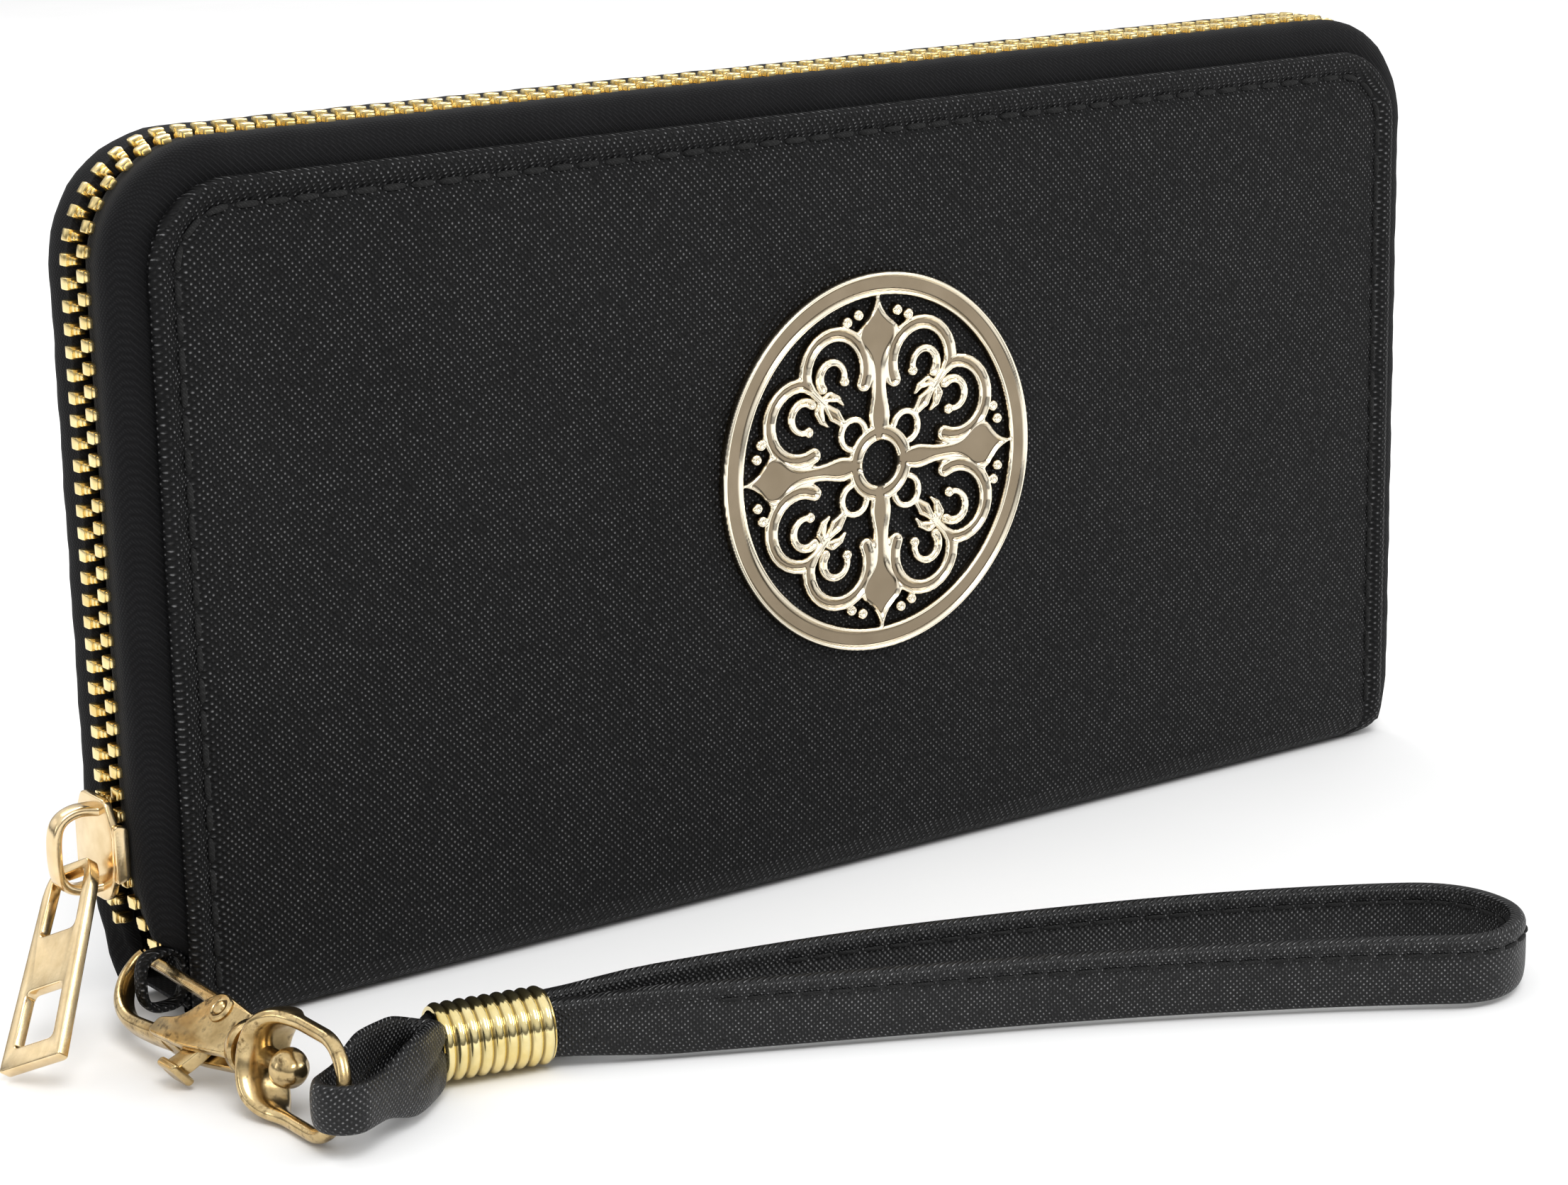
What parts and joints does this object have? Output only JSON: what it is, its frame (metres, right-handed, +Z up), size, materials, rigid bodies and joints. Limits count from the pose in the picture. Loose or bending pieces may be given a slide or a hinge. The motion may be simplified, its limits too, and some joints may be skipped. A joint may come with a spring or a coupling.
{
  "type": "zip around wallet",
  "caption": "Long black cross-grained wallet that zips round three sides, with a round gilt openwork ornament on the front and a wrist strap on a swivel lobster clasp.",
  "frame": {"origin": "middle of the flat under the spine", "axes": "+X along the wallet towards its right end, +Y from the front cover to the back cover, +Z up from the spine to the zip"},
  "size_m": [0.2147, 0.1052, 0.1011],
  "materials": {
    "saffiano": "cross-hatched embossed grain, low sheen",
    "strap_leather": "fine dotted grain, low sheen",
    "card_leather": "smooth grain",
    "lining": "fine twill",
    "board": "pressed board",
    "zip_tape": "woven herringbone",
    "gold_teeth": "bright plated",
    "satin_gold": "satin plated",
    "stamped_gold": "polished, stamped",
    "antique_brass": "aged, darkened in the recesses",
    "spring_steel": "drawn wire"
  },
  "bodies": {
    "root": {"back_cover": "saffiano", "back_board": "board", "back_lining": "lining", "back_card_panel": "card_leather", "back_card_slot_1": "card_leather", "back_card_slot_2": "card_leather", "back_card_slot_3": "card_leather", "back_card_slot_4": "card_leather", "spine_wrap": "saffiano", "spine_board": "board", "spine_lining": "lining", "left_gusset": "lining", "right_gusset": "lining", "back_zip_tape": "zip_tape", "zip_end_tape": "zip_tape", "back_zip_teeth": "gold_teeth", "zip_end_teeth": "gold_teeth", "zip_stop": "gold_teeth", "anchor_tab": "saffiano"},
    "front_half": {"front_cover": "saffiano", "front_board": "board", "front_lining": "lining", "front_card_panel": "card_leather", "front_card_slot_1": "card_leather", "front_card_slot_2": "card_leather", "front_card_slot_3": "card_leather", "front_card_slot_4": "card_leather", "front_zip_tape": "zip_tape", "front_zip_teeth": "gold_teeth", "medallion": "stamped_gold", "prong_discs": "stamped_gold"},
    "coin_pocket": {"coin_pocket_front_wall": "lining", "coin_pocket_back_wall": "lining", "coin_pocket_edge": "lining", "coin_zip_tape": "zip_tape", "coin_zip_teeth": "gold_teeth", "coin_zip_stops": "gold_teeth"},
    "coin_slider": {"coin_slider": "satin_gold"},
    "coin_pull": {"coin_pull": "satin_gold"},
    "zip_slider": {"slider_body": "satin_gold", "slider_bridge": "satin_gold"},
    "pull_tab": {"pull_tab": "satin_gold"},
    "hook": {"hook_body": "antique_brass", "gate_rivet": "antique_brass", "gate_spring": "spring_steel", "swivel_stem": "antique_brass"},
    "hook_gate": {"hook_gate": "antique_brass"},
    "swivel_eye": {"swivel_eye": "antique_brass"},
    "wrist_strap": {"strap_end_loop": "strap_leather", "ferrule": "satin_gold", "wrist_strap": "strap_leather"}
  },
  "joints": [
    {"name": "cover_opening", "type": "hinge", "parent": "root", "child": "front_half", "pos_m": [0, -0.01, 0.0081], "axis": [1, 0, 0], "range_deg": [0, 50]},
    {"name": "coin_pocket_fan", "type": "hinge", "parent": "root", "child": "coin_pocket", "pos_m": [0, 0, 0.006], "axis": [1, 0, 0], "range_deg": [0, 25]},
    {"name": "coin_slider_slide", "type": "slide", "parent": "coin_pocket", "child": "coin_slider", "axis": [1, 0, 0], "range_m": [0, 0.14]},
    {"name": "coin_pull_swing", "type": "hinge", "parent": "coin_slider", "child": "coin_pull", "pos_m": [-0.07, 0, 0.0842], "axis": [0, -1, 0], "range_deg": [0, 150]},
    {"name": "zip_slider_slide", "type": "slide", "parent": "root", "child": "zip_slider", "axis": [0, 0, 1], "range_m": [0, 0.058]},
    {"name": "pull_swing", "type": "hinge", "parent": "zip_slider", "child": "pull_tab", "pos_m": [-0.1023, 0, 0.0194], "axis": [-0.3015, 0.8645, -0.4021], "range_deg": [0, 95]},
    {"name": "hook_swing", "type": "hinge", "parent": "root", "child": "hook", "pos_m": [-0.0965, -0.007, 0.007], "axis": [-1, 0, 0], "range_deg": [0, 20]},
    {"name": "gate_press", "type": "hinge", "parent": "hook", "child": "hook_gate", "pos_m": [-0.09623, -0.0244, 0.0072], "axis": [-0.6428, 0, 0.766], "range_deg": [0, 5], "stiffness_Nm_per_rad": 0.01, "springref_deg": -17.19},
    {"name": "eye_swivel", "type": "hinge", "parent": "hook", "child": "swivel_eye", "pos_m": [-0.0973, -0.031, 0.0063], "axis": [0, 1, 0], "continuous": true},
    {"name": "strap_swing", "type": "hinge", "parent": "swivel_eye", "child": "wrist_strap", "pos_m": [-0.0973, -0.0499, 0.0063], "axis": [0, 0, 1], "range_deg": [-60, 12]}
  ],
  "couplings": [
    {"joint": "coin_pocket_fan", "follows": "cover_opening", "ratio": 0.5}
  ]
}
